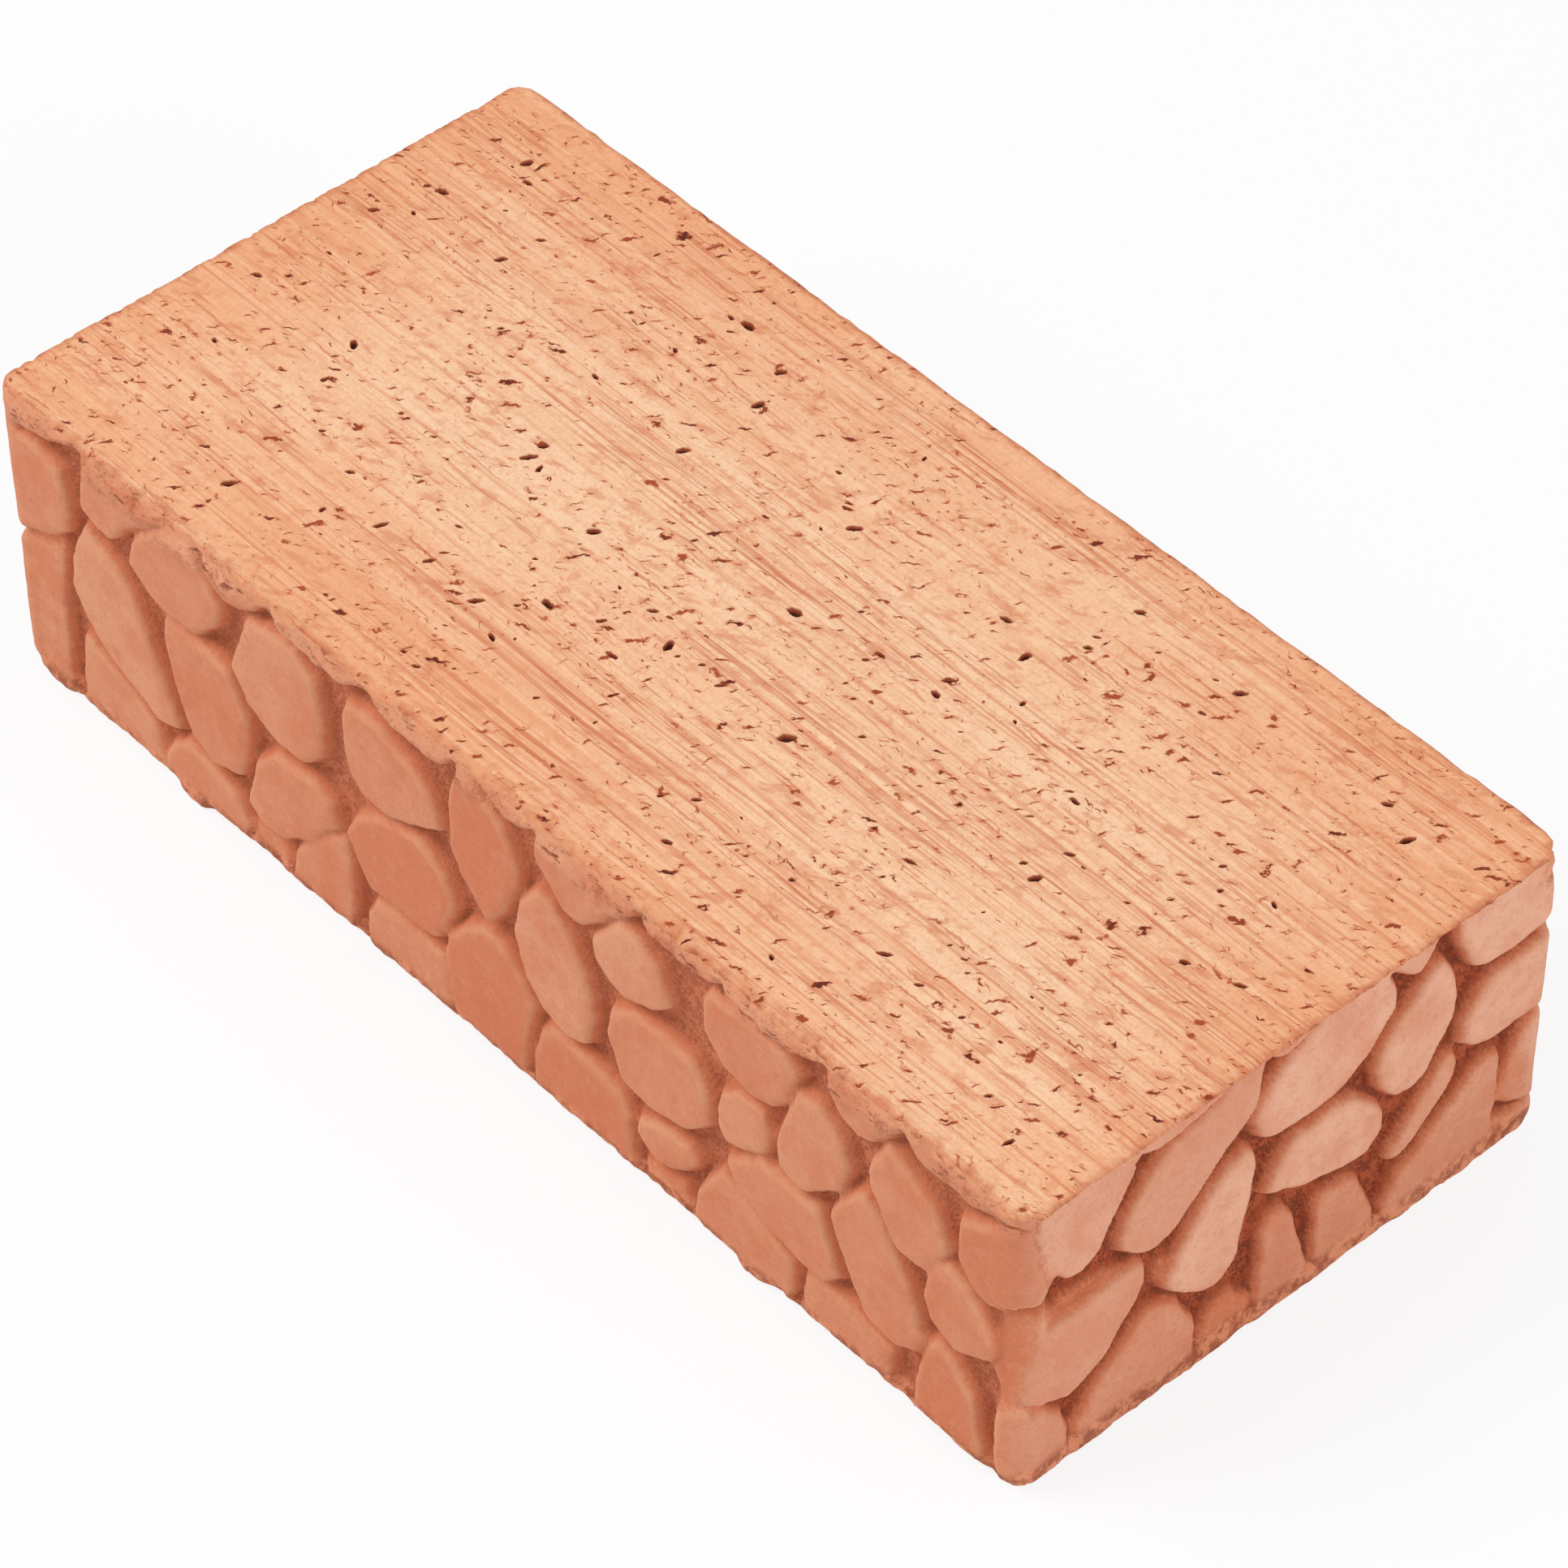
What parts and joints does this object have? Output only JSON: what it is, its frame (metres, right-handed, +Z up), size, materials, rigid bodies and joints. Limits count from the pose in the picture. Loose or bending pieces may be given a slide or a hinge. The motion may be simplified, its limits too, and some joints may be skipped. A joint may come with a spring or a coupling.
{
  "type": "solid clay brick",
  "caption": "Solid fired-clay facing brick with cobble-like stone relief on one long side and both ends, flat beds and a plain back.",
  "frame": {"origin": "centre of the lower bed, on the plane the brick lies on", "axes": "+X along the brick's length, +Y from the long relief side towards the plain long side, +Z up from the lower bed to the upper bed"},
  "size_m": [0.25, 0.116, 0.065],
  "materials": {
    "clay": "matte"
  },
  "bodies": {
    "root": {"brick": "clay"}
  },
  "joints": []
}
